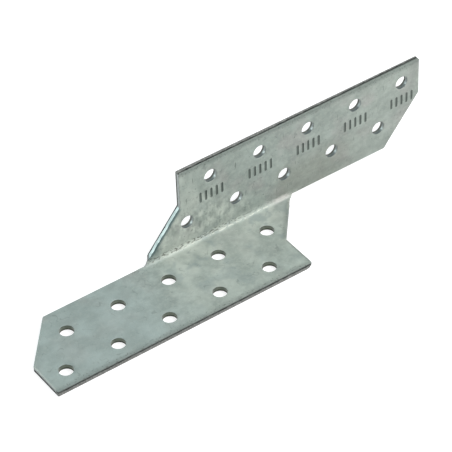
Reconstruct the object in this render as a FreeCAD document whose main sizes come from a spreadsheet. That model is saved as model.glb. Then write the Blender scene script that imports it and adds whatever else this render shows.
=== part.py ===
"""Rafter connector: a piece of galvanised strip, cut to a zigzag, punched with nail holes and folded.

Two equal flanges share a square fold in the middle of the part and run past it in opposite
directions.  The blank is cut without waste, so both ends of a flange have the same cut: square at
the outer edge, then slanted to the fold line.  Past the fold each flange ends on that line in a
free edge, which curls up where it enters the fold.  A half turn about the bisector of the fold
swaps the flanges, so only the lower flange and its half of the fold are drawn.

Body frame: X along the fold, the heel (where the two outer faces would meet) on the X axis, the
lower flange flat on Z = 0 towards -Y, the upper flange standing on Y = 0 towards +Z.  The body's
placement then brings the middle of the lower flange's width to Y = 0.
"""
import FreeCAD, Part
import Sketcher
import math
import os

# Driving dimensions in millimetres, angles in degrees
DIMENSIONS = (
    ("flange_length", 100.0, "one flange, from square end to square end"),
    ("flange_offset", 70.0, "shift of the upper flange against the lower one"),
    ("flange_width", 34.0, "heel to the outer edge of a flange"),
    ("sheet_thickness", 2.0, "galvanised strip"),
    ("bend_radius", 2.0, "inside radius of the fold"),
    ("neutral_factor", 0.35, "depth of the neutral layer as a share of the thickness"),
    ("curl_length", 4.0, "stretch of a free edge that curls up into the fold"),
    ("square_cut", 14.5, "square part of an end cut, measured in from the outer edge"),
    ("slant_angle", 40.0, "slanted part of an end cut, measured from the square part"),
    ("hole_diameter", 5.0, "punched nail hole"),
    ("hole_pitch", 20.0, "hole to hole along a row"),
    ("fold_margin", 8.0, "end of the fold's curve to the near row of holes"),
    ("edge_margin", 7.0, "outer edge to the far row of holes"),
    ("end_margin", 7.5, "square end to the first hole of the far row"),
    ("end_clearance", 10.0, "least distance from the last hole of the far row to the other end"),
    ("row_stagger", 10.0, "first hole of the far row to the first hole of the near row"),
    ("edge_rollover", 0.2, "rounding that the punch leaves on the inner side of a cut edge"),
)
SHEET = "Dimensions"
NODE = "rafter_connector"
HALF_FOLD_ANGLE = 45.0
TOLERANCE = 1e-4

# Lengths that follow from the driving dimensions, as expressions of the sheet
HALF_LENGTH = f"({SHEET}.flange_length + {SHEET}.flange_offset) / 2"
TANGENT = f"({SHEET}.bend_radius + {SHEET}.sheet_thickness)"
HALF_BEND = f"pi / 4 * ({SHEET}.bend_radius + {SHEET}.neutral_factor * {SHEET}.sheet_thickness)"
FREE_EDGE = f"({TANGENT} - {HALF_BEND})"
OUTER_MIDDLE = f"({TANGENT} * (1 - cos({HALF_FOLD_ANGLE})))"
NEAR_ROW = f"{TANGENT} + {SHEET}.fold_margin"
FAR_ROW = f"{SHEET}.flange_width - {SHEET}.edge_margin"
HOLE_STRETCH = f"{SHEET}.flange_length - {SHEET}.end_margin - {SHEET}.end_clearance"
HOLES_PER_ROW = f"floor(({HOLE_STRETCH}) / {SHEET}.hole_pitch) + 1"


def slant_run(height):
    """Length along the fold that the slanted cut covers down to this height above the heel."""
    return f"({SHEET}.flange_width - {SHEET}.square_cut - {height}) * tan({SHEET}.slant_angle)"


def slant_reach(height):
    """Distance from the middle of the fold to the slanted cut at this height above the heel."""
    return f"(({SHEET}.flange_length - {SHEET}.flange_offset) / 2 + {slant_run(height)})"


FOLD_END = slant_reach(OUTER_MIDDLE)
CURL_END = f"({FOLD_END} + {SHEET}.curl_length)"

# Sketcher's own numbers for the ends of a line, the centre of a circle, the origin and the X axis
START, END, CENTRE = 1, 2, 3
ROOT = (-1, 1)
X_AXIS = -1


def make_sheet(doc):
    sheet = doc.addObject("Spreadsheet::Sheet", SHEET)
    for row, (alias, number, meaning) in enumerate(DIMENSIONS, start=1):
        sheet.set(f"A{row}", alias)
        sheet.set(f"B{row}", str(number))
        sheet.set(f"C{row}", meaning)
        sheet.setAlias(f"B{row}", alias)
    doc.recompute()


def value(expression):
    """The number that an expression of the sheet has now."""
    return float(FreeCAD.ActiveDocument.getObject(SHEET).evalExpression(expression))


def new_sketch(body, name, role):
    """An empty sketch on one of the body's own origin planes."""
    plane = next(feature for feature in body.Origin.OriginFeatures if feature.Role == role)
    sketch = body.newObject("Sketcher::SketchObject", name)
    sketch.AttachmentSupport = [(plane, "")]
    sketch.MapMode = "FlatFace"
    return sketch


def constrain(sketch, kind, *geometry):
    return sketch.addConstraint(Sketcher.Constraint(kind, *geometry))


def dimension(sketch, name, kind, geometry, expression):
    """A named size in a sketch, bound to an expression of the sheet."""
    number = value(expression)
    if kind == "Angle":
        number = math.radians(number)
    index = constrain(sketch, kind, *geometry, number)
    sketch.renameConstraint(index, name)
    sketch.setExpression(f"Constraints.{name}", expression)


def draw_line(sketch, start, end, construction=False):
    line = Part.LineSegment(FreeCAD.Vector(*start, 0), FreeCAD.Vector(*end, 0))
    return sketch.addGeometry(line, construction)


def draw_outline(sketch, corners):
    """A closed chain of lines, where line i runs from corner i to the next corner."""
    count = len(corners)
    for index, corner in enumerate(corners):
        draw_line(sketch, corner, corners[(index + 1) % count])
    for index in range(count):
        constrain(sketch, "Coincident", index, END, (index + 1) % count, START)


def draw_half_fold(sketch):
    """Section of the lower half of the fold, with the fold's bisector as a construction line."""
    outer = value(TANGENT)
    inner = value(f"{SHEET}.bend_radius")
    centre = (-outer, outer)
    middle = math.radians(HALF_FOLD_ANGLE)
    sweep = (1.5 * math.pi, 1.5 * math.pi + middle)
    arcs = []
    ends = []
    for radius in (outer, inner):
        circle = Part.Circle(FreeCAD.Vector(*centre, 0), FreeCAD.Vector(0, 0, 1), radius)
        arcs.append(sketch.addGeometry(Part.ArcOfCircle(circle, *sweep), False))
        ends.append((centre[0] + radius * math.sin(middle), centre[1] - radius * math.cos(middle)))
    outer_arc, inner_arc = arcs
    flange_side = draw_line(sketch, (-outer, 0), (-outer, outer - inner))
    middle_side = draw_line(sketch, *ends)
    bisector = draw_line(sketch, (0, 0), centre, construction=True)
    constrain(sketch, "Coincident", outer_arc, CENTRE, inner_arc, CENTRE)
    constrain(sketch, "Coincident", outer_arc, START, flange_side, START)
    constrain(sketch, "Coincident", inner_arc, START, flange_side, END)
    constrain(sketch, "Coincident", outer_arc, END, middle_side, START)
    constrain(sketch, "Coincident", inner_arc, END, middle_side, END)
    constrain(sketch, "Vertical", flange_side)
    constrain(sketch, "Vertical", outer_arc, START, outer_arc, CENTRE)
    constrain(sketch, "PointOnObject", outer_arc, END, bisector)
    constrain(sketch, "PointOnObject", inner_arc, END, bisector)
    constrain(sketch, "Coincident", bisector, START, *ROOT)
    constrain(sketch, "Coincident", bisector, END, outer_arc, CENTRE)
    dimension(sketch, "outer_radius", "Radius", (outer_arc,), TANGENT)
    dimension(sketch, "inner_radius", "Radius", (inner_arc,), f"{SHEET}.bend_radius")
    dimension(sketch, "centre_back", "DistanceX", (outer_arc, CENTRE, *ROOT), TANGENT)
    dimension(sketch, "centre_up", "DistanceY", (*ROOT, outer_arc, CENTRE), TANGENT)


def make_half_fold(body):
    """The lower half of the fold, between the curl of the free edge and the slanted end cut."""
    section = new_sketch(body, "half_fold_section", "YZ_Plane")
    draw_half_fold(section)
    fold = body.newObject("PartDesign::Pad", "half_fold")
    fold.Profile = section
    fold.SideType = "Symmetric"
    fold.setExpression("Length", f"2 * {FOLD_END}")
    outline = new_sketch(body, "slanted_end", "XY_Plane")
    tangent_reach = value(slant_reach(TANGENT))
    heel_reach = value(slant_reach(0))
    tangent = -value(TANGENT)
    draw_outline(outline, [(tangent_reach, tangent), (heel_reach, tangent), (heel_reach, 0)])
    at_fold, upright, slant = range(3)
    constrain(outline, "Horizontal", at_fold)
    constrain(outline, "Vertical", upright)
    constrain(outline, "PointOnObject", upright, END, X_AXIS)
    dimension(outline, "fold_line", "DistanceY", (at_fold, START, *ROOT), TANGENT)
    dimension(outline, "tangent_reach", "DistanceX", (*ROOT, at_fold, START), slant_reach(TANGENT))
    dimension(outline, "heel_reach", "DistanceX", (*ROOT, upright, START), slant_reach(0))
    cut = body.newObject("PartDesign::Pocket", "slanted_end_cut")
    cut.Profile = outline
    cut.Reversed = True
    cut.setExpression("Length", TANGENT)
    return section


def make_curl(body):
    """The strip beside the free edge, which rises from the flat flange to the middle of the fold."""
    at_fold = new_sketch(body, "curl_at_fold", "YZ_Plane")
    at_fold.setExpression("AttachmentOffset.Base.z", f"-{FOLD_END}")
    draw_half_fold(at_fold)
    flat = new_sketch(body, "curl_at_flange", "YZ_Plane")
    flat.setExpression("AttachmentOffset.Base.z", f"-{CURL_END}")
    tangent = -value(TANGENT)
    free = -value(FREE_EDGE)
    thickness = value(f"{SHEET}.sheet_thickness")
    draw_outline(flat, [(tangent, 0), (free, 0), (free, thickness), (tangent, thickness)])
    bottom, free_side, top, flange_side = range(4)
    for level in (bottom, top):
        constrain(flat, "Horizontal", level)
    for upright in (free_side, flange_side):
        constrain(flat, "Vertical", upright)
    constrain(flat, "PointOnObject", bottom, START, X_AXIS)
    dimension(flat, "fold_line", "DistanceX", (bottom, START, *ROOT), TANGENT)
    dimension(flat, "free_line", "DistanceX", (bottom, END, *ROOT), FREE_EDGE)
    dimension(flat, "rise", "DistanceY", (free_side, START, free_side, END), f"{SHEET}.sheet_thickness")
    curl = body.newObject("PartDesign::AdditiveLoft", "free_edge_curl")
    curl.Profile = at_fold
    curl.Sections = [flat]
    curl.Ruled = True


def make_flange(body):
    """The flat plate of the lower flange, with a step where its free edge starts to curl."""
    left = -value(HALF_LENGTH)
    right = left + value(f"{SHEET}.flange_length")
    outer = -value(f"{SHEET}.flange_width")
    kink = outer + value(f"{SHEET}.square_cut")
    tangent = -value(TANGENT)
    free = -value(FREE_EDGE)
    curl_end = -value(CURL_END)
    sketch = new_sketch(body, "flange_outline", "XY_Plane")
    draw_outline(sketch, [
        (left, outer),
        (right, outer),
        (right, kink),
        (value(slant_reach(TANGENT)), tangent),
        (curl_end, tangent),
        (curl_end, free),
        (left + value(slant_run(FREE_EDGE)), free),
        (left, kink),
    ])
    outer_edge, right_square, right_slant, at_fold, curl_step, free_edge, left_slant, left_square = range(8)
    for level in (outer_edge, at_fold, free_edge):
        constrain(sketch, "Horizontal", level)
    for upright in (right_square, curl_step, left_square):
        constrain(sketch, "Vertical", upright)
    constrain(sketch, "Parallel", right_slant, left_slant)
    constrain(sketch, "Equal", right_square, left_square)
    dimension(sketch, "left_end", "DistanceX", (outer_edge, START, *ROOT), HALF_LENGTH)
    dimension(sketch, "length", "DistanceX", (outer_edge, START, outer_edge, END), f"{SHEET}.flange_length")
    dimension(sketch, "width", "DistanceY", (outer_edge, START, *ROOT), f"{SHEET}.flange_width")
    dimension(sketch, "square", "DistanceY", (right_square, START, right_square, END), f"{SHEET}.square_cut")
    dimension(sketch, "heading", "Angle", (right_slant,), f"90 - {SHEET}.slant_angle")
    dimension(sketch, "fold_line", "DistanceY", (at_fold, START, *ROOT), TANGENT)
    dimension(sketch, "free_line", "DistanceY", (free_edge, START, *ROOT), FREE_EDGE)
    dimension(sketch, "curl_end", "DistanceX", (free_edge, START, *ROOT), CURL_END)
    flange = body.newObject("PartDesign::Pad", "lower_flange")
    flange.Profile = sketch
    flange.setExpression("Length", f"{SHEET}.sheet_thickness")


def punch_holes(body):
    """The first hole of both rows, repeated along the flange."""
    radius = value(f"{SHEET}.hole_diameter / 2")
    far_start = f"{HALF_LENGTH} - {SHEET}.end_margin"
    near_start = f"{far_start} - {SHEET}.row_stagger"
    sketch = new_sketch(body, "first_holes", "XY_Plane")
    rows = (("far", far_start, FAR_ROW), ("near", near_start, NEAR_ROW))
    for index, (row, from_middle, from_heel) in enumerate(rows):
        centre = FreeCAD.Vector(-value(from_middle), -value(from_heel), 0)
        sketch.addGeometry(Part.Circle(centre, FreeCAD.Vector(0, 0, 1), radius), False)
        dimension(sketch, f"{row}_start", "DistanceX", (index, CENTRE, *ROOT), from_middle)
        dimension(sketch, f"{row}_row", "DistanceY", (index, CENTRE, *ROOT), from_heel)
        dimension(sketch, f"{row}_diameter", "Diameter", (index,), f"{SHEET}.hole_diameter")
    first_holes = body.newObject("PartDesign::Pocket", "first_hole_pair")
    first_holes.Profile = sketch
    first_holes.Reversed = True
    first_holes.setExpression("Length", f"{SHEET}.sheet_thickness")
    holes = body.newObject("PartDesign::LinearPattern", "nail_holes")
    holes.Originals = [first_holes]
    holes.Direction = (sketch, ["H_Axis"])
    holes.Mode = "Spacing"
    holes.setExpression("Offset", f"{SHEET}.hole_pitch")
    holes.setExpression("Occurrences", HOLES_PER_ROW)
    body.Tip = holes
    return holes


def inner_edges(shape, wanted):
    """Names of those edges of the flange's inner face that a test accepts."""
    inner = value(f"{SHEET}.sheet_thickness")
    names = []
    for number, edge in enumerate(shape.Edges, start=1):
        lowest, highest = edge.BoundBox.ZMin, edge.BoundBox.ZMax
        if max(abs(lowest - inner), abs(highest - inner)) < TOLERANCE and wanted(edge):
            names.append(f"Edge{number}")
    return names


def roll_edges(doc, body, holes):
    """Rounds the inner side of the cut outline, up to the fold, and bevels the rims of the holes."""
    fold_line = -value(TANGENT)
    curl_end = -value(CURL_END)

    def is_rim(edge):
        return edge.isClosed()

    def is_outline(edge):
        box = edge.BoundBox
        along_fold = box.YMin > fold_line - TOLERANCE and box.XMin > curl_end - TOLERANCE
        return not along_fold and not is_rim(edge)

    outline = body.newObject("PartDesign::Fillet", "rolled_outline")
    outline.Base = (holes, inner_edges(holes.Shape, is_outline))
    outline.setExpression("Radius", f"{SHEET}.edge_rollover")
    doc.recompute()
    rims = body.newObject("PartDesign::Chamfer", "rolled_rims")
    rims.Base = (outline, inner_edges(outline.Shape, is_rim))
    rims.setExpression("Size", f"{SHEET}.edge_rollover")


def add_upper_half(body, section):
    """Turns the whole lower half about the bisector of the fold and joins the two."""
    both = body.newObject("PartDesign::PolarPattern", "both_flanges")
    both.TransformMode = "Whole shape"
    both.Axis = (section, ["Axis0"])
    both.Angle = 360
    both.Occurrences = 2
    body.Tip = both


def check(doc, body):
    """Stops before anything is written if a feature failed or a cut pointed away from the solid."""
    for item in doc.Objects:
        if "Invalid" in item.State or "Error" in item.State:
            raise RuntimeError(f"{item.Name} failed: {item.State}")
    for name in ("slanted_end_cut", "first_hole_pair"):
        cut = doc.getObject(name)
        if cut.Shape.Volume >= cut.BaseFeature.Shape.Volume:
            raise RuntimeError(f"{name} removes nothing")
    if body.Shape.isNull() or not body.Shape.isValid() or len(body.Shape.Solids) != 1:
        raise RuntimeError("the connector is not one valid solid")


def main():
    doc = FreeCAD.newDocument("RafterConnector")
    make_sheet(doc)
    body = doc.addObject("PartDesign::Body", "connector")
    body.Label = NODE
    body.setExpression("Placement.Base.y", f"{SHEET}.flange_width / 2")
    section = make_half_fold(body)
    make_curl(body)
    make_flange(body)
    holes = punch_holes(body)
    doc.recompute()
    roll_edges(doc, body, holes)
    doc.recompute()
    add_upper_half(body, section)
    doc.recompute()
    check(doc, body)
    os.makedirs("parts", exist_ok=True)
    body.Shape.exportStep(f"parts/{body.Label}.step")


main()
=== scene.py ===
"""Looks of the rafter connector: a strip of galvanised steel, punched, stamped and folded once.

The sheet is laid out flat, as the press sees it, with its cut edges and stamped strokes, and is then
folded into the frame of the CAD model. Lengths are in millimetres, except on the stage, where they are
in metres.
"""

import math
from collections import namedtuple

import bpy
import numpy as np
from mathutils import Matrix, Quaternion, Vector, geometry, noise


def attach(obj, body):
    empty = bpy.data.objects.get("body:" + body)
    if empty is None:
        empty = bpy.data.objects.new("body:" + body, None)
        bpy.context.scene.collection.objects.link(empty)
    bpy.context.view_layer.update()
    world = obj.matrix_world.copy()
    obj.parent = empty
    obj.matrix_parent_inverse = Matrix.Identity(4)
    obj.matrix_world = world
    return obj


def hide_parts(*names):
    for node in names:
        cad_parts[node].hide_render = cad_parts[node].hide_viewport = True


MM = 0.001                        # in metres
BODY, NODE, SLOT = "root", "rafter_connector", "galvanised_steel"

# Material slots, in the order of part_materials
ZINC, FRONT_SLIT, TOP_SLIT, LOWER_END, UPPER_END, SLANT, LOWER_HOLE, UPPER_HOLE, STAMP = range(9)

# The sheet and its fold
FLANGE_LENGTH = 100.0
FLANGE_OFFSET = 70.0              # the upper flange starts this far along from the lower one
FLANGE_WIDTH = 34.0               # from the heel of the fold to the long edge
THICKNESS = 2.0
BEND_RADIUS = 2.0                 # inside
NEUTRAL_DEPTH = 0.7               # of the fibre that keeps its length, from the inner face
CURL_LENGTH = 4.0                 # the free edge straightens over this length past the fold
LEAST_CURVE = 1e-6                # stands for none where the free edge is straight
SQUARE_CUT = 14.5                 # of each end, from the long edge to the slant
SLANT_ANGLE = math.radians(40)
CORNER_RADIUS = 0.45
WORN_RADIUS = 0.7                 # of the one outer corner that is worn
NOTCH_RADIUS = 1.3

# The fold stretches the outer face and crowds the inner one, which draws the sheet in or out at its ends
DRAW = 0.8                        # of the outer face, where it is most
DRAW_AT = 1.1                     # place of the most, from the middle of the fold
DRAW_REACH = 1.6                  # to either side of that place
DRAW_FADE = 4.0                   # along the fold, from its end

# Holes of the lower flange; the upper one has the same after a half turn
HOLE_RADIUS = 2.5
HOLE_PITCH = 20.0
HOLES_PER_ROW = 5
NEAR_ROW = (-67.5, 12.0)          # first hole, and distance from the heel
FAR_ROW = (-77.5, 27.0)

# Stamped strokes under each hole of the upper flange's far row
STROKES = 5
STROKE_PITCH = 2.2
STROKE_LENGTH = 4.3
STROKE_WIDTH = 0.95
STROKE_DEPTH = 0.25
STROKE_SLOPE = 0.2                # the floor is narrower than the rim by this much on each side
STROKE_DROP = 7.3                 # from the hole's centre to the strokes' middle

# Cut edges
SLIT_ROLL = (1.1, 0.28)           # width and depth of the rim that the cut pulls down
PUNCH_ROLL = (0.42, 0.14)
FREE_EDGE = 0.5                   # half the width of the strip with no such rim, at the free edges
FREE_EDGE_FADE = 1.0
SLIT_WRAP = 1.1                   # the slit edges' finish goes this far round their corners
FRACTURE_START = 1.0              # depth at which the wall is torn, not cut
FRACTURE_ROUGHNESS = 0.03
FRACTURE_ALONG, FRACTURE_DOWN = 1.3, 2.0      # how often the roughness changes in a millimetre
BURR_INSET = 0.04
CHIP_DEPTH = 0.5                  # the torn edge is broken off at the worn corner
CHIP_REACH = 2.2

# Lines of points down the wall of a cut edge: how far out, and how deep
WALL_RINGS = ((0.0, 0.45), (0.0, 0.9), (-0.02, 1.05), (-0.03, 1.4), (-0.03, 1.75), (0.0, 1.95))

# The mesh
EDGE_STEP = 0.8
GRID_STEP = 1.1
FOLD_STEP = 0.36
HOLE_POINTS = 48
ARC_POINTS = 7                    # at a corner or a stroke's end
FACE_RINGS = (0.02, 0.08, 0.18, 0.32, 0.52, 0.76, 1.02)    # distances from the cut edges
BACK_RINGS = (0.25, 0.8)
RING_SLACK = 0.98                 # share of its distance that a ring's point keeps from every edge
RING_GAP = GRID_STEP / 3          # between the last ring and the grid
TRIANGLES = 0                     # what the triangulation is asked for
MERGE_DISTANCE = 1e-6
SHARP_ANGLE = math.radians(40)

# Sizes on the flat blank, where v = 0 is the middle of the fold and the upper flange has v > 0
HALF_LENGTH = (FLANGE_LENGTH + FLANGE_OFFSET) / 2
HEEL = FLANGE_WIDTH / 2
NEUTRAL_RADIUS = BEND_RADIUS + NEUTRAL_DEPTH
HALF_BEND = math.pi / 4 * NEUTRAL_RADIUS
TANGENT = BEND_RADIUS + THICKNESS
FLATTENED = HALF_BEND - TANGENT               # adds to a distance from the heel
REACH = FLANGE_WIDTH + FLATTENED
KINK = REACH - SQUARE_CUT
SLANT_RUN = KINK * math.tan(SLANT_ANGLE)
LEFT, RIGHT = -HALF_LENGTH, FLANGE_LENGTH - HALF_LENGTH    # ends of the lower flange
FOLD_END = RIGHT + SLANT_RUN
WORN_CORNER = (RIGHT, -REACH)

# The stage and its lamps, in metres
STAGE_HALF = 3.0
WALL_HEIGHT = 3.0
FLOOR_DROP = 0.0005               # the floor is this far below the part
FLOOR_GREY = (0.4, 0.4, 0.4, 1)
FLOOR_GLOW = 0.84                 # makes the floor white to the camera, with a faint shadow
WORLD_TINT, WORLD_STRENGTH = (0.88, 1.0, 1.03, 1), 0.35
LAMP_DISTANCE = 0.6
BLACK, WHITE = (0, 0, 0, 1), (1, 1, 1, 1)

# The photograph's camera
CAMERA_AT = (-372.7, -537.4, 592.4)
CAMERA_AIM = (-6.71, 0.94, 17.07)
CAMERA_ROLL = math.radians(-2.161)
CAMERA_LENS, SENSOR_WIDTH = 211.6, 36.0
CLIP_START, CLIP_END = 0.05, 100.0            # in metres


# The flat blank

def half_turn(points):
    """The same points on the other flange."""
    return [(-u, -v) for u, v in points]


def blank_corners():
    lower = [(LEFT + SLANT_RUN, 0.0), (LEFT, -KINK), (LEFT, -REACH),
             WORN_CORNER, (RIGHT, -KINK), (RIGHT + SLANT_RUN, 0.0)]
    return lower + half_turn(lower)


def hole_centres():
    lower = [(first + HOLE_PITCH * i, -(row + FLATTENED))
             for first, row in (NEAR_ROW, FAR_ROW) for i in range(HOLES_PER_ROW)]
    return lower + half_turn(lower)


def stroke_centres():
    first, row = FAR_ROW
    middle = row + FLATTENED - STROKE_DROP
    steps = STROKE_PITCH * (np.arange(STROKES) - (STROKES - 1) / 2)
    return [(-first - HOLE_PITCH * i + step, middle) for i in range(HOLES_PER_ROW) for step in steps]


def corner_radius(corner, turn):
    """A corner's radius, which is negative in a notch, where the outline turns right."""
    if turn < 0:
        return -NOTCH_RADIUS
    return WORN_RADIUS if corner == WORN_CORNER else CORNER_RADIUS


def rounded_corner(before, corner, after):
    """The points of an arc in place of a corner."""
    at = Vector(corner)
    come, go = (at - Vector(before)).normalized(), (Vector(after) - at).normalized()
    turn = -come.angle_signed(go)
    radius = corner_radius(corner, turn)
    start = at - come * radius * math.tan(turn / 2)
    centre = start + Vector((-come.y, come.x)) * radius
    turns = turn * np.linspace(0, 1, ARC_POINTS)
    return [centre + Matrix.Rotation(angle, 2) @ (start - centre) for angle in turns]


def outline_loop():
    """The blank's outline, counter-clockwise, as close points."""
    corners = blank_corners()
    points = []
    for i, corner in enumerate(corners):
        points += rounded_corner(corners[i - 1], corner, corners[(i + 1) % len(corners)])
    close = []
    for a, b in zip(points, points[1:] + points[:1]):
        count = math.ceil((b - a).length / EDGE_STEP)
        close += [tuple(a.lerp(b, i / count)) for i in range(count)]
    return np.array(close)


def hole_loop(centre):
    """A hole's rim, clockwise, so that the sheet is on the same side as with the outline."""
    angles = -2 * math.pi * np.arange(HOLE_POINTS) / HOLE_POINTS
    return centre + HOLE_RADIUS * np.column_stack((np.cos(angles), np.sin(angles)))


def stroke_loop(centre, inset=0.0):
    """A stamped stroke's outline, clockwise: a slot with round ends."""
    radius = STROKE_WIDTH / 2 - inset
    straight = (STROKE_LENGTH - STROKE_WIDTH) / 2
    angles = np.append(np.linspace(math.pi, 0, ARC_POINTS), np.linspace(0, -math.pi, ARC_POINTS))
    rise = np.repeat((straight, -straight), ARC_POINTS)
    return centre + np.column_stack((radius * np.cos(angles), rise + radius * np.sin(angles)))


def outward(loop):
    """The direction out of the sheet at each point of a loop."""
    along = np.roll(loop, -1, axis=0) - np.roll(loop, 1, axis=0)
    along /= np.linalg.norm(along, axis=1)[:, None]
    return np.column_stack((along[:, 1], -along[:, 0]))


def edges_of(loop):
    return zip(loop, np.roll(loop, -1, axis=0))


def off_outline(points, outline):
    """How far each point lies from the outline."""
    nearest = np.full(len(points), np.inf)
    for a, b in edges_of(outline):
        share = np.clip((points - a) @ (b - a) / ((b - a) @ (b - a)), 0, 1)
        nearest = np.minimum(nearest, np.linalg.norm(points - a - np.outer(share, b - a), axis=1))
    return nearest


def clearance(points, outline):
    """How far each point lies from the nearest cut edge."""
    nearest = off_outline(points, outline)
    for centre in hole_centres():
        nearest = np.minimum(nearest, np.abs(np.linalg.norm(points - centre, axis=1) - HOLE_RADIUS))
    return nearest


def in_sheet(points, loops):
    """Whether each point is inside the outline and outside every other loop."""
    inside = np.zeros(len(points), bool)
    u, v = points.T
    for loop in loops:
        for a, b in edges_of(loop):
            if a[1] != b[1]:
                crossed = (a[1] > v) != (b[1] > v)
                inside ^= crossed & (u < a[0] + (v - a[1]) * (b[0] - a[0]) / (b[1] - a[1]))
    return inside


def grid_points():
    """Points all over the blank's box, in closer rows across the fold."""
    fold_rows = np.linspace(-HALF_BEND, HALF_BEND, 2 * round(HALF_BEND / FOLD_STEP) + 1)
    flat_rows = np.arange(HALF_BEND + GRID_STEP, REACH, GRID_STEP)
    rows = np.concatenate((-flat_rows, fold_rows, flat_rows))
    columns = np.arange(-HALF_LENGTH, HALF_LENGTH, GRID_STEP)
    return np.array([(u + GRID_STEP / 2 * (i % 2), v) for i, v in enumerate(rows) for u in columns])


def inner_points(loops, outline, rings):
    """The points of a face inside its loops: rings that follow the loops, and the grid between them."""
    kept = []
    for ring in rings:
        points = np.vstack([loop - outward(loop) * ring for loop in loops])
        kept.append(points[clearance(points, outline) > ring * RING_SLACK])
    points = grid_points()
    kept.append(points[clearance(points, outline) > rings[-1] + RING_GAP])
    points = np.vstack(kept)
    return points[in_sheet(points, loops)]


# Folding

def smoothstep(share):
    """Eases from 0 to 1 as the share goes from 0 to 1."""
    return share * share * (3 - 2 * share)


def draw_in(u, v, depth):
    """Where the points end up along the fold, near the two slants that it ends at."""
    across = -v * np.sign(u)
    inland = FOLD_END - across * math.tan(SLANT_ANGLE) - np.abs(u)
    stretch = (depth - NEUTRAL_DEPTH) / (THICKNESS - NEUTRAL_DEPTH)
    hump = np.cos(math.pi / 2 * np.clip((across - DRAW_AT) / DRAW_REACH, -1, 1)) ** 2
    fade = np.clip(1 - np.abs(inland) / DRAW_FADE, 0, 1) ** 2
    return u - np.sign(u) * DRAW * stretch * hump * fade


def fold(blank):
    """Places points of the blank (u, v, depth below the inner face) in the frame of the CAD model."""
    u, v, depth = blank.T
    u = draw_in(u, v, depth)
    upper = np.where(np.abs(u) > FOLD_END, u > 0, v > 0)
    turned = np.where(upper, -1, 1)
    u, v = u * turned, v * turned
    past = np.clip((-FOLD_END - u) / CURL_LENGTH, 0, 1)
    curved = np.maximum(1 - smoothstep(past), LEAST_CURVE)
    radius = NEUTRAL_RADIUS / curved
    angle = np.maximum(v + HALF_BEND, 0) / radius
    y = HEEL - TANGENT + np.minimum(v + HALF_BEND, 0) + (radius - NEUTRAL_DEPTH + depth) * np.sin(angle)
    z = THICKNESS - NEUTRAL_DEPTH + radius - (radius - NEUTRAL_DEPTH + depth) * np.cos(angle)
    return np.where(upper[:, None], np.column_stack((-u, HEEL - z, HEEL - y)), np.column_stack((u, y, z)))


# The mesh

class Sheet:
    """The sheet's points on the blank and its faces, gathered bit by bit."""

    def __init__(self):
        self.points, self.faces, self.slots = [], [], []

    def add_points(self, points, depth):
        start = len(self.points)
        self.points += np.column_stack((points, np.broadcast_to(depth, len(points)))).tolist()
        return list(range(start, len(self.points)))

    def add_face(self, corners, slot):
        self.faces.append(corners)
        self.slots.append(slot)

    def add_wall(self, upper, lower, slot_at):
        """A strip of faces between two loops of points, with the material for each place on the blank."""
        for i in range(len(upper)):
            corners = (upper[i - 1], lower[i - 1], lower[i], upper[i])
            self.add_face(corners, slot_at(min(self.points[c][1] for c in corners)))

    def add_layer(self, loops, inner, depths, slot, back=False):
        """A face of the sheet between its loops. Returns the loops' points."""
        points = np.vstack(loops + [inner])
        numbers = self.add_points(points, depths)
        edges, start = [], 0
        for loop in loops:
            edges += [(start + i, start + (i + 1) % len(loop)) for i in range(len(loop))]
            start += len(loop)
        made, _, faces, origins, _, _ = geometry.delaunay_2d_cdt(
            [Vector(p) for p in points], edges, [], TRIANGLES, MERGE_DISTANCE)
        middles = np.array([np.mean([made[i] for i in face], axis=0) for face in faces])
        for face, keep in zip(faces, in_sheet(middles, loops)):
            if keep:
                corners = [numbers[origins[i][0]] for i in face]
                self.add_face(corners[::-1] if back else corners, slot)
        starts = np.cumsum([0] + [len(loop) for loop in loops])
        return [numbers[a:b] for a, b in zip(starts, starts[1:])]


def roll(distance, width, depth):
    """How far the inner face is pulled down at this distance from a cut edge."""
    near = np.clip(1 - distance / width, 0, 1)
    return depth * (1 - np.sqrt(1 - near * near))


def roll_depth(points, outline):
    """The rim's depth: wide at the slit edges, narrow elsewhere and none at the free edges by the fold."""
    across = np.abs(points[:, 1])
    punched = roll(clearance(points, outline), *PUNCH_ROLL)
    punched *= np.clip((across - FREE_EDGE) / FREE_EDGE_FADE, 0, 1)
    return np.maximum(punched, roll(REACH - across, *SLIT_ROLL))


def fracture(loop, depth):
    """Small unevenness along the torn part of a cut edge."""
    if depth < FRACTURE_START:
        return np.zeros((len(loop), 1))
    waves = [noise.noise((u * FRACTURE_ALONG, v * FRACTURE_ALONG, depth * FRACTURE_DOWN)) for u, v in loop]
    return FRACTURE_ROUGHNESS * np.array(waves)[:, None]


def chip(loop):
    """How far the back of the edge is broken off at each point, which is only at the worn corner."""
    near = np.clip(1 - np.linalg.norm(loop - WORN_CORNER, axis=1) / CHIP_REACH, 0, 1)
    return CHIP_DEPTH * smoothstep(near)[:, None]


def wall_loop(loop, out, depth):
    """A cut edge's line at this depth, pushed out evenly, and uneven or broken off where it is torn."""
    torn = max(depth - FRACTURE_START, 0) / (THICKNESS - FRACTURE_START)
    return loop + outward(loop) * (out + fracture(loop, depth) - chip(loop) * torn)


def edge_slot(v):
    if abs(v) > REACH - SLIT_WRAP:
        return TOP_SLIT if v > 0 else FRONT_SLIT
    if abs(v) > KINK:
        return UPPER_END if v > 0 else LOWER_END
    return SLANT


def hole_slot(v):
    return UPPER_HOLE if v > 0 else LOWER_HOLE


def stamp_slot(v):
    return STAMP


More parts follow.
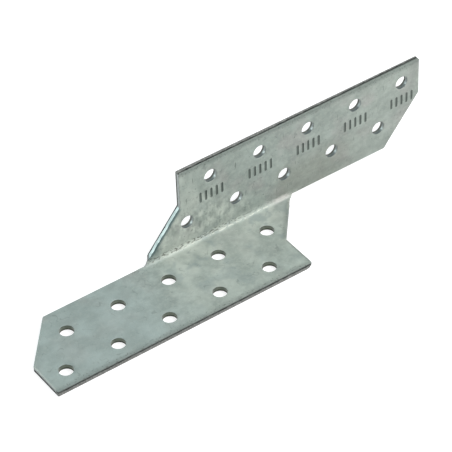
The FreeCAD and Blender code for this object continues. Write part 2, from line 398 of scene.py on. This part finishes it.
def make_sheet():
    sheet = Sheet()
    outline = outline_loop()
    cuts = [outline] + [hole_loop(c) for c in hole_centres()]
    strokes = [stroke_loop(c) for c in stroke_centres()]
    face_loops = cuts + strokes

    inner = inner_points(face_loops, outline, FACE_RINGS)
    depths = roll_depth(np.vstack(face_loops + [inner]), outline)
    rims = sheet.add_layer(face_loops, inner, depths, ZINC)

    backs = [loop - outward(loop) * (BURR_INSET + chip(loop)) for loop in cuts]
    inner = inner_points(backs, outline, BACK_RINGS)
    back_rims = sheet.add_layer(backs, inner, THICKNESS, ZINC, back=True)

    for loop, rim, back_rim in zip(cuts, rims, back_rims):
        rings = [sheet.add_points(wall_loop(loop, out, depth), depth) for out, depth in WALL_RINGS]
        for upper, lower in zip([rim] + rings, rings + [back_rim]):
            sheet.add_wall(upper, lower, edge_slot if loop is outline else hole_slot)

    for centre, rim in zip(stroke_centres(), rims[len(cuts):]):
        floor = sheet.add_points(stroke_loop(centre, STROKE_SLOPE), STROKE_DEPTH)
        sheet.add_wall(rim, floor, stamp_slot)
        sheet.add_face(floor[::-1], STAMP)
    return sheet


def sheet_object(materials):
    """The folded sheet, which keeps each point's place on the blank and distance from the outline."""
    sheet = make_sheet()
    blank = np.array(sheet.points)
    mesh = bpy.data.meshes.new("folded_sheet")
    mesh.from_pydata((fold(blank) * MM).tolist(), [], sheet.faces)
    mesh.polygons.foreach_set("material_index", sheet.slots)
    for material in materials:
        mesh.materials.append(material)
    layout = mesh.attributes.new("blank", "FLOAT_VECTOR", "POINT")
    layout.data.foreach_set("vector", (blank * MM).astype(np.float32).ravel())
    rim = mesh.attributes.new("rim", "FLOAT", "POINT")
    rim.data.foreach_set("value", (off_outline(blank[:, :2], outline_loop()) * MM).astype(np.float32))
    mesh.shade_smooth()
    mesh.set_sharp_from_angle(angle=SHARP_ANGLE)
    piece = bpy.data.objects.new("folded_sheet", mesh)
    bpy.context.scene.collection.objects.link(piece)
    return piece


# Materials

def colour(red, green, blue):
    """An sRGB colour, 0 to 255, as a shader takes it."""
    shares = (c / 255 for c in (red, green, blue))
    return (*(s / 12.92 if s <= 0.04045 else ((s + 0.055) / 1.055) ** 2.4 for s in shares), 1.0)


def per(millimetres):
    """A texture's scale, for features of this size."""
    return 1 / (millimetres * MM)


class Shader:
    """A material whose nodes are added one at a time."""

    CORE = 0.3                    # share of a reach within which near() gives 1

    def __init__(self, name):
        self.material = bpy.data.materials.new(name)
        self.material.use_nodes = True
        self.tree = self.material.node_tree
        self.surface = self.tree.nodes["Principled BSDF"]

    def add(self, kind, inputs, output=0, **settings):
        """A node with its inputs by name or number, each a value or another node's socket."""
        node = self.tree.nodes.new("ShaderNode" + kind)
        for name, value in settings.items():
            setattr(node, name, value)
        for name, value in inputs.items():
            self.set(node.inputs[name], value)
        return node.outputs[output]

    def set(self, socket, value):
        if isinstance(value, bpy.types.NodeSocket):
            self.tree.links.new(value, socket)
        else:
            socket.default_value = value

    def finish(self, **inputs):
        for name, value in inputs.items():
            self.set(self.surface.inputs[name.replace("_", " ").title().replace("Ior", "IOR")], value)
        return self.material

    def attribute(self, name, output="Vector"):
        return self.add("Attribute", {}, output, attribute_name=name)

    def noise(self, at, size, detail=2.0, stretch=(1, 1, 1)):
        """Soft noise from 0 to 1 with features of this size in millimetres."""
        placed = self.add("Mapping", {"Vector": at, "Scale": Vector(stretch) * per(size)})
        return self.add("TexNoise", {"Vector": placed, "Scale": 1.0, "Detail": detail})

    def hairlines(self, at, size):
        """1 on a few thin lines that wander, in bends of this size in millimetres."""
        bends = self.noise(at, size, 1)
        line = self.ramp(self.math("ABSOLUTE", self.math("SUBTRACT", bends, 0.5)), 0.002, 0.012, 1.0, 0.0)
        return self.product(line, self.ramp(self.noise(at, size * 0.6, 1), 0.5, 0.58))

    def ramp(self, value, low, high, to_low=0.0, to_high=1.0):
        """Eases from to_low to to_high as the value goes from low to high."""
        inputs = {"Value": value, "From Min": low, "From Max": high, "To Min": to_low, "To Max": to_high}
        return self.add("MapRange", inputs, interpolation_type="SMOOTHSTEP")

    def over(self, length, low, high, to_low, to_high):
        """Eases from to_low to to_high as a length goes from low to high, in millimetres."""
        return self.ramp(length, low * MM, high * MM, to_low, to_high)

    def past(self, length, low, high):
        """0 up to the lower length and 1 past the higher one, in millimetres."""
        return self.over(length, low, high, 0.0, 1.0)

    def until(self, length, low, high):
        """1 up to the lower length and 0 past the higher one, in millimetres."""
        return self.over(length, low, high, 1.0, 0.0)

    def near(self, length, middle, reach):
        """1 where the length is at this many millimetres, falling to 0 within the reach."""
        away = self.math("ABSOLUTE", self.math("SUBTRACT", length, middle * MM))
        return self.until(away, self.CORE * reach, reach)

    def math(self, operation, a, b=0.0):
        return self.add("Math", {0: a, 1: b}, operation=operation)

    def product(self, first, *others):
        for other in others:
            first = self.math("MULTIPLY", first, other)
        return first

    def sum(self, first, *others):
        for other in others:
            first = self.math("ADD", first, other)
        return first

    def mix(self, share, a, b):
        return self.add("Mix", {0: share, 6: a, 7: b}, 2, data_type="RGBA")

    def lay(self, tone, other, *shares):
        """A tone with another one laid over it, by the product of the shares."""
        return self.mix(self.product(*shares), tone, other)

    def bump(self, height, distance):
        """The normal of a relief that is this many millimetres high."""
        return self.add("Bump", {"Height": height, "Distance": distance * MM, "Strength": 1.0})


# The dark tone of a zinc is also laid as painted shade, and its light tone as painted light.
Tones = namedtuple("Tones", "cool warm blush stain bare")
Pair = namedtuple("Pair", "dark light")
Lip = namedtuple("Lip", "end tone")             # the top of a cut edge, to this depth

# Marks on the zinc, and colours of painted light and shade on it
BLUISH = colour(134, 147, 147)
SOIL_AND_SHADE = colour(118, 116, 100)
CHIPPED = colour(88, 92, 86)
RIM_SHADE = colour(60, 64, 61)
SHADED = colour(82, 106, 106)
WORN = colour(204, 200, 195)
PAINTED_HIGHLIGHT = colour(216, 219, 206)
FLAKED = colour(190, 194, 178)
CRACKED = colour(94, 94, 84)

# Sizes of the zinc's features. A stretch below 1 makes them longer along that axis of the blank
BLUSH_SIZE = 15
CLOUD_SIZE = 11
SPANGLE_SIZE = 2.8
FROST_SIZE = 1.2
GRAIN_SIZE = 0.4
FOLD_LIGHT_SIZE = 10                    # of bright patches of painted light beside the fold
BLUISH_SIZE = 8
DRAG_SIZE, SCUFF_SIZE, DRAG_STRETCH = 3.0, 1.0, (1, 0.6, 1)
SCRATCH_SIZE, SCRATCH_STRETCH = 0.9, (1, 0.12, 1)
HAIRLINE_SIZE = 5
SPECK_SIZE = 1.3
CHIPPED_SIZE = 0.7
HIGHLIGHT_BREAK_SIZE = 1.2
CRACK_SIZE, CRACK_STRETCH = 0.85, (0.7, 1.2, 1)
WANDER_SIZE = 7                   # of the bends in the fold's line and in the ends of the zone of painted light
LINE_WANDER, FOLD_LIGHT_WANDER = 0.3, 6
MARKS_SHIFT = (-13 * MM, 0, 0)    # moves the noise of the painted fold light and its marks along the fold
RELIEF = 0.06

# The bands of a cut edge
BAND_SIZE, BAND_STRETCH = 2.5, (1, 1, 0.2)
BAND_WANDER = 0.15
BAND_BLUR, LIP_BLUR = 0.08, 0.1
TEAR_SIZE, TEAR_STRETCH = 0.5, (1, 1, 0.5)
TEAR_RELIEF = 0.05
TORN_SHINE, TORN_ROUGHNESS = 0.2, 0.65


def coat_tone(s, at, u, v, tones):
    """The coating's cloudy tone, calmer on the long arm of the lower flange, with painted light: a cooler
    tint on that arm and lighter towards the upper flange's right end.
    """
    lively = s.over(u, -50, -25, 0.5, 1.0)
    blush = s.ramp(s.noise(at, BLUSH_SIZE, 3), 0.47, 0.64, 0.0, 0.6)
    cloud = s.ramp(s.noise(at, CLOUD_SIZE, 3), 0.35, 0.65, 0.26, 0.0)
    spangle = s.ramp(s.noise(at, SPANGLE_SIZE, 3), 0.32, 0.68, 0.24, 0.0)
    frost = s.ramp(s.noise(at, FROST_SIZE), 0.45, 0.7, 0.0, 0.22)
    grain = s.ramp(s.noise(at, GRAIN_SIZE), 0.3, 0.7, 0.12, 0.0)
    # painted light: the cool tint on the long arm stands for bluish light from the left, the warm one near
    # the fold for light thrown between the flanges
    tone = s.lay(tones.cool, tones.warm, s.past(u, -50, -20))
    # painted light: lighter towards the upper flange's right end, nearer the key lamp
    tone = s.lay(tone, tones.bare, s.over(u, 35, 70, 0.0, 0.2))
    tone = s.lay(tone, tones.blush, blush, s.over(v, -6, 5, 0.3, 1.0))
    tone = s.lay(tone, tones.stain, cloud)
    tone = s.lay(tone, tones.stain, lively, spangle)
    tone = s.lay(tone, tones.bare, lively, frost)
    return s.lay(tone, tones.stain, grain)


def leaning(s, u, v, wander, lean, step):
    """The place along the fold, for a line that leans across the flanges, steps at the fold and wanders."""
    return s.sum(u, s.product(v, lean), s.over(v, 0, 3, 0.0, step * MM), wander)


def fold_light_zone(s, at, u, v):
    """1 in the zone of painted light beside the fold, where the flanges throw light on each other, and less
    far down the lower flange.
    """
    wander = s.ramp(s.noise(at, WANDER_SIZE, 3), 0.2, 0.8, -FOLD_LIGHT_WANDER * MM, FOLD_LIGHT_WANDER * MM)
    left = leaning(s, u, v, wander, lean=-0.22, step=8)
    right = leaning(s, u, v, wander, lean=0.8, step=10)
    return s.product(s.past(left, -30, -21), s.until(right, 18, 32), s.over(v, -30, -4, 0.4, 1.0))


def fold_light_marks(s, at, u, v, tone, tones):
    """Painted light: the zone beside the fold is brighter, with bluish patches, and drawn on the upper
    flange; to its right the upper flange has olive soil and painted shade.
    """
    at = s.add("VectorMath", {0: at, 1: MARKS_SHIFT}, operation="ADD")
    fold_light = fold_light_zone(s, at, u, v)
    bright = s.ramp(s.noise(at, FOLD_LIGHT_SIZE), 0.4, 0.6, 0.12, 0.52)
    bluish = s.ramp(s.noise(at, BLUISH_SIZE, 3), 0.52, 0.62, 0.0, 0.5)
    # painted light: bright patches in the zone beside the fold
    tone = s.lay(tone, tones.bare, fold_light, bright)
    tone = s.lay(tone, BLUISH, fold_light, bluish, s.over(v, -2, 4, 1.0, 0.3))

    drawn = s.product(fold_light, s.past(v, 1.5, 4), s.over(v, 10, 22, 1.0, 0.15))
    drag = s.noise(at, DRAG_SIZE, 5, DRAG_STRETCH)
    scuff = s.ramp(s.noise(at, SCUFF_SIZE, 3, DRAG_STRETCH), 0.5, 0.62, 0.0, 0.32)
    tone = s.lay(tone, tones.stain, drawn, s.ramp(drag, 0.5, 0.68, 0.0, 0.42))
    # painted light: lighter between the drag streaks
    tone = s.lay(tone, tones.bare, drawn, s.ramp(drag, 0.34, 0.54, 0.9, 0.0))
    tone = s.lay(tone, tones.stain, drawn, scuff)
    # painted light: a bright patch by the left part of the fold
    tone = s.lay(tone, tones.bare, s.near(u, -17, 8), s.near(v, 2, 8), 0.5)
    # olive soil, and painted shade on the upper flange's lower right, which gets little light from the floor
    soiled_and_shaded = s.product(s.past(u, 20, 28), s.until(u, 42, 66), s.past(v, -1, 0), s.until(v, 8, 18))
    return s.lay(tone, SOIL_AND_SHADE, soiled_and_shaded, 0.36)


def hairline_marks(s, at, v, tone, tones):
    """Fine scratches, mostly down the upper flange, and a few specks."""
    scratches = s.ramp(s.noise(at, SCRATCH_SIZE, 1, SCRATCH_STRETCH), 0.71, 0.78, 0.0, 0.8)
    specks = s.ramp(s.noise(at, SPECK_SIZE, 1), 0.69, 0.76, 0.0, 0.5)
    tone = s.lay(tone, tones.stain, scratches, s.past(v, 2, 6))
    tone = s.lay(tone, tones.stain, s.hairlines(at, HAIRLINE_SIZE), 0.35)
    return s.lay(tone, tones.stain, specks, s.over(v, -6, 2, 0.4, 1.0))


def rim_marks(s, at, u, v, tone, tones):
    """The sheet's rim: dull and chipped at the slit edges, with painted shade on the front slit's rolled rim
    and along the upper slant, a painted highlight along the lower flange's left square end, and darker along
    its right slant and square end.
    """
    rim, across = s.attribute("rim", "Fac"), s.math("ABSOLUTE", v)
    upper, lower = s.past(v, 2, 4), s.until(v, -4, -2)
    chips = s.ramp(s.noise(at, CHIPPED_SIZE), 0.56, 0.66, 0.0, 0.6)
    dull = s.past(across, REACH - 2.2, REACH - 0.2)
    tone = s.lay(tone, tones.stain, dull, s.over(v, -4, 4, 0.5, 0.66))
    tone = s.lay(tone, CHIPPED, s.past(across, REACH - 2.6, REACH - 1.2), chips)
    # painted shade on the front slit's rolled rim, which turns away from the light
    tone = s.lay(tone, RIM_SHADE, lower, s.over(across, REACH - 0.3, REACH - 0.05, 0.0, 0.8))

    slant = s.until(across, KINK - 1, KINK)
    square = s.product(s.past(across, KINK, KINK + 1), s.until(across, REACH - 2, REACH - 1))
    left, right = s.until(u, -75, -70), s.past(u, 5, 8)
    # painted shade along the upper slant's rim
    tone = s.lay(tone, SHADED, upper, slant, s.until(u, -8, -6), s.over(rim, 0.1, 1.3, 0.8, 0.0))
    # darker along the lower flange's right slant, and a dark line along its right square end
    tone = s.lay(tone, tones.stain, lower, slant, right, s.over(rim, 0.5, 2.4, 0.4, 0.0))
    tone = s.lay(tone, CHIPPED, lower, square, right, s.over(rim, 0.1, 0.8, 0.6, 0.0))
    # painted highlight along the lower flange's left square end, for the rolled rim's reflection
    return s.lay(tone, tones.bare, lower, square, left, s.over(rim, 0.1, 0.5, 0.5, 0.0))


def fold_marks(s, at, u, v, depth):
    """Shares of the fold's painted highlight, a broken line which fades at both ends, and of its flakes and
    cracks.
    """
    in_fold = s.product(s.until(s.math("ABSOLUTE", u), 28, 30), s.over(depth, 0.7, 1.3, 1.0, 0.3))
    wander = s.ramp(s.noise(at, WANDER_SIZE, 3), 0.25, 0.75, -LINE_WANDER * MM, LINE_WANDER * MM)
    line = s.sum(v, wander)
    patchy = s.ramp(s.noise(at, HIGHLIGHT_BREAK_SIZE, 3), 0.46, 0.56)
    # painted highlight: a broken bright line where the key lamp's reflection lies on the fold
    fold_highlight = s.product(in_fold, s.near(line, -0.35, 0.46), patchy,
                       s.over(u, -28, -8, 0.1, 1.0), s.over(u, 18, 23, 1.0, 0.15))
    crazed = s.product(in_fold, s.near(line, 0.9, 1.5), s.over(u, -4, 18, 1.0, 0.3))
    crack = s.noise(at, CRACK_SIZE, 3, CRACK_STRETCH)
    flaked = s.product(crazed, s.ramp(crack, 0.38, 0.47, 1.0, 0.0))
    cracked = s.product(crazed, s.ramp(crack, 0.5, 0.58))
    return fold_highlight, flaked, cracked


def fold_tone(s, u, v, tone, tones):
    """Painted shade in the crease just above the fold, darker again at its left end, and a lighter patch on
    the fold near its right end.
    """
    # painted shade in the crease just above the fold
    tone = s.lay(tone, tones.stain, s.near(v, 3, 2.4), 0.16)
    # painted shade at the fold's left end, by the slant's foot
    tone = s.lay(tone, SHADED, s.near(v, 3, 3), s.until(u, -27, -22), 0.35)
    return s.lay(tone, WORN, s.near(u, 25.5, 4.5), s.near(v, 0.0, 1.7), 0.6)


def zinc(name, tones):
    """Hot-dip zinc, as it is after punching and folding, with painted light and shade by the fold and along
    some rims.
    """
    s = Shader(name)
    at = s.attribute("blank")
    u, v, depth = (s.add("SeparateXYZ", {"Vector": at}, i) for i in range(3))
    tone = coat_tone(s, at, u, v, tones)
    tone = fold_light_marks(s, at, u, v, tone, tones)
    tone = hairline_marks(s, at, v, tone, tones)
    tone = rim_marks(s, at, u, v, tone, tones)
    tone = fold_tone(s, u, v, tone, tones)
    fold_highlight, flaked, cracked = fold_marks(s, at, u, v, depth)
    # painted highlight along the fold
    tone = s.lay(tone, PAINTED_HIGHLIGHT, fold_highlight, 0.75)
    tone = s.lay(tone, FLAKED, flaked, 0.45)
    tone = s.lay(tone, CRACKED, cracked, 0.8)

    grain = s.product(s.noise(at, GRAIN_SIZE), 0.25)
    crazing = s.product(s.math("SUBTRACT", fold_highlight, cracked), 0.6)
    height = s.sum(s.noise(at, SPANGLE_SIZE, 3), grain, crazing)
    roughness = s.ramp(s.noise(at, FROST_SIZE), 0.25, 0.75, 0.48, 0.62)
    return s.finish(base_color=tone, metallic=0.12, roughness=roughness, normal=s.bump(height, RELIEF))


def cut_edge(name, burnish, burnish_end, torn, shine, lip=None, tilt=0.0, gloss=0.5, satin=0.3):
    """A sheared edge: a lip, a burnished band down to its end, with a satin finish, and a torn band.

    Where the edge has a tilt, the bands go down by that much along it.
    """
    s = Shader(name)
    at = s.attribute("blank")
    u, _, depth = (s.add("SeparateXYZ", {"Vector": at}, i) for i in range(3))
    cloud = s.noise(at, BAND_SIZE, 3, BAND_STRETCH)
    tear = s.noise(at, TEAR_SIZE, 2, TEAR_STRETCH)
    line = s.sum(depth, s.ramp(cloud, 0.2, 0.8, -BAND_WANDER * MM, BAND_WANDER * MM))
    if tilt:
        line = s.math("SUBTRACT", line, s.product(u, tilt))
    below = s.past(line, burnish_end - BAND_BLUR, burnish_end + BAND_BLUR)
    smooth = s.mix(s.ramp(cloud, 0.3, 0.7), burnish.dark, burnish.light)
    if lip:
        smooth = s.lay(smooth, lip.tone, s.until(line, lip.end - LIP_BLUR, lip.end + LIP_BLUR))
    rough = s.mix(s.ramp(tear, 0.3, 0.7), torn.dark, torn.light)
    return s.finish(base_color=s.mix(below, smooth, rough),
                    metallic=s.ramp(below, 0, 1, shine, TORN_SHINE),
                    roughness=s.ramp(below, 0, 1, satin, TORN_ROUGHNESS),
                    normal=s.bump(s.product(below, tear), TEAR_RELIEF), specular_ior_level=gloss)


def part_materials():
    """The part's materials, in the order of the slots."""
    return [
        zinc("zinc", Tones(cool=colour(168, 181, 177), warm=colour(168, 178, 170),
                           blush=colour(178, 175, 171), stain=colour(106, 114, 108),
                           bare=colour(202, 208, 197))),
        # painted shade: the slits' burnished bands are coloured dark for the dark reflection they show
        cut_edge("front_slit", burnish_end=0.8, shine=0.1, gloss=0.2,
                 burnish=Pair(colour(36, 40, 38), colour(70, 74, 71)),
                 torn=Pair(colour(120, 120, 116), colour(156, 156, 152))),
        cut_edge("top_slit", burnish_end=0.94, shine=0.1, gloss=0.2, tilt=0.0064,
                 lip=Lip(0.24, colour(124, 130, 124)),
                 burnish=Pair(colour(46, 50, 48), colour(84, 86, 82)),
                 torn=Pair(colour(116, 116, 112), colour(154, 154, 150))),
        # lower_end and upper_end are shaded and lit copies of one cut edge: the lower end's dark torn band
        # is painted shadow near the floor, the upper end's lighter one painted light
        cut_edge("lower_end", burnish_end=0.95, shine=1.0,
                 burnish=Pair(colour(128, 136, 134), colour(144, 152, 150)),
                 torn=Pair(colour(40, 44, 42), colour(62, 66, 63))),
        cut_edge("upper_end", burnish_end=1.3, shine=1.0,
                 burnish=Pair(colour(132, 139, 137), colour(148, 155, 153)),
                 torn=Pair(colour(92, 94, 91), colour(112, 114, 110))),
        # the slant's dark teal lip is a painted shadow line between its bright band and the face
        cut_edge("slant", burnish_end=1.55, shine=1.0,
                 lip=Lip(0.4, colour(48, 60, 60)),
                 burnish=Pair(colour(104, 112, 111), colour(120, 128, 127)),
                 torn=Pair(colour(66, 72, 72), colour(82, 88, 88))),
        # lower_hole and upper_hole are shaded and lit copies of one punched wall: the lower holes' dark
        # olive walls are painted shade, the upper holes' lighter walls painted light
        cut_edge("lower_hole", burnish_end=1.4, shine=0.7,
                 burnish=Pair(colour(84, 92, 82), colour(106, 113, 101)),
                 torn=Pair(colour(64, 71, 60), colour(90, 96, 83))),
        cut_edge("upper_hole", burnish_end=1.25, shine=0.75, satin=0.42,
                 burnish=Pair(colour(130, 137, 136), colour(148, 155, 153)),
                 torn=Pair(colour(94, 96, 91), colour(118, 120, 114))),
        # the stamped strokes' darker tones are painted shade in their recesses
        zinc("stamped_zinc_shade", Tones(cool=colour(104, 112, 106), warm=colour(104, 112, 106),
                                   blush=colour(104, 110, 104), stain=colour(72, 80, 74),
                                   bare=colour(122, 130, 122)))]


# Stage, lights and camera

def make_world():
    world = bpy.data.worlds.new("studio")
    world.use_nodes = True
    background = world.node_tree.nodes["Background"]
    background.inputs["Color"].default_value = WORLD_TINT
    background.inputs["Strength"].default_value = WORLD_STRENGTH
    bpy.context.scene.world = world


def stage_piece(name, points, faces, material):
    mesh = bpy.data.meshes.new(name)
    mesh.from_pydata(points, [], faces)
    mesh.materials.append(material)
    piece = bpy.data.objects.new(name, mesh)
    bpy.context.scene.collection.objects.link(piece)
    return piece


def floor_material():
    """Pale grey under the lamps, and white to the camera and in reflections."""
    s = Shader("white_floor")
    path = s.tree.nodes.new("ShaderNodeLightPath")
    seen = path.outputs["Is Camera Ray"]
    for ray in ("Is Glossy Ray", "Is Transmission Ray"):
        seen = s.math("MAXIMUM", seen, path.outputs[ray])
    return s.finish(base_color=FLOOR_GREY, roughness=0.9, emission_color=WHITE,
                    emission_strength=s.product(seen, FLOOR_GLOW))


def wall_material():
    return Shader("white_wall").finish(base_color=BLACK, emission_color=WHITE, emission_strength=1.0)


def make_stage():
    """A floor, and far walls that light nothing and show in no reflection."""
    signs = ((-1, -1), (1, -1), (1, 1), (-1, 1))
    low = [(x * STAGE_HALF, y * STAGE_HALF, -FLOOR_DROP) for x, y in signs]
    high = [(x, y, WALL_HEIGHT) for x, y, _ in low]
    sides = [(i, (i + 1) % 4, (i + 1) % 4 + 4, i + 4) for i in range(4)]
    stage_piece("floor", low, [(0, 1, 2, 3)], floor_material())
    walls = stage_piece("walls", low + high, sides, wall_material())
    walls.visible_diffuse = walls.visible_glossy = walls.visible_shadow = False


def make_softbox(name, direction, size, watts, tint=(1, 1, 1)):
    """A square lamp that faces the part from this direction."""
    lamp = bpy.data.lights.new(name, "AREA")
    lamp.size, lamp.energy, lamp.color = size, watts, tint
    box = bpy.data.objects.new(name, lamp)
    box.location = Vector(direction).normalized() * LAMP_DISTANCE
    box.rotation_euler = Vector(direction).to_track_quat("Z", "Y").to_euler()
    bpy.context.scene.collection.objects.link(box)


def make_camera():
    data = bpy.data.cameras.new("camera")
    data.lens, data.sensor_width = CAMERA_LENS, SENSOR_WIDTH
    data.clip_start, data.clip_end = CLIP_START, CLIP_END
    camera = bpy.data.objects.new("camera", data)
    at, aim = Vector(CAMERA_AT) * MM, Vector(CAMERA_AIM) * MM
    camera.rotation_mode = "QUATERNION"
    camera.location = at
    camera.rotation_quaternion = (aim - at).to_track_quat("-Z", "Y") @ Quaternion((0, 0, 1), CAMERA_ROLL)
    bpy.context.scene.collection.objects.link(camera)
    bpy.context.scene.camera = camera


# The scene

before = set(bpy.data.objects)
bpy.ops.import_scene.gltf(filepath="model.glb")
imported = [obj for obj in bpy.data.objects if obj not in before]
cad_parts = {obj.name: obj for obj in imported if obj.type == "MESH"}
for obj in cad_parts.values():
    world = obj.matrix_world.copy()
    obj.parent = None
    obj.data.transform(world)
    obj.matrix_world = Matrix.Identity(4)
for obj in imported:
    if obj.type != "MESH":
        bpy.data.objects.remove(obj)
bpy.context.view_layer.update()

part = sheet_object(part_materials())
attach(part, BODY)
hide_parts(NODE)

make_world()
make_stage()
make_softbox("key", direction=(0.35, -0.55, 0.76), size=0.35, watts=3.35)
make_softbox("left_panel", direction=(-0.73, 0.62, 0.31), size=0.26, watts=1.2, tint=(0.92, 1.0, 1.0))
make_camera()
bpy.context.scene.view_settings.view_transform = "Standard"
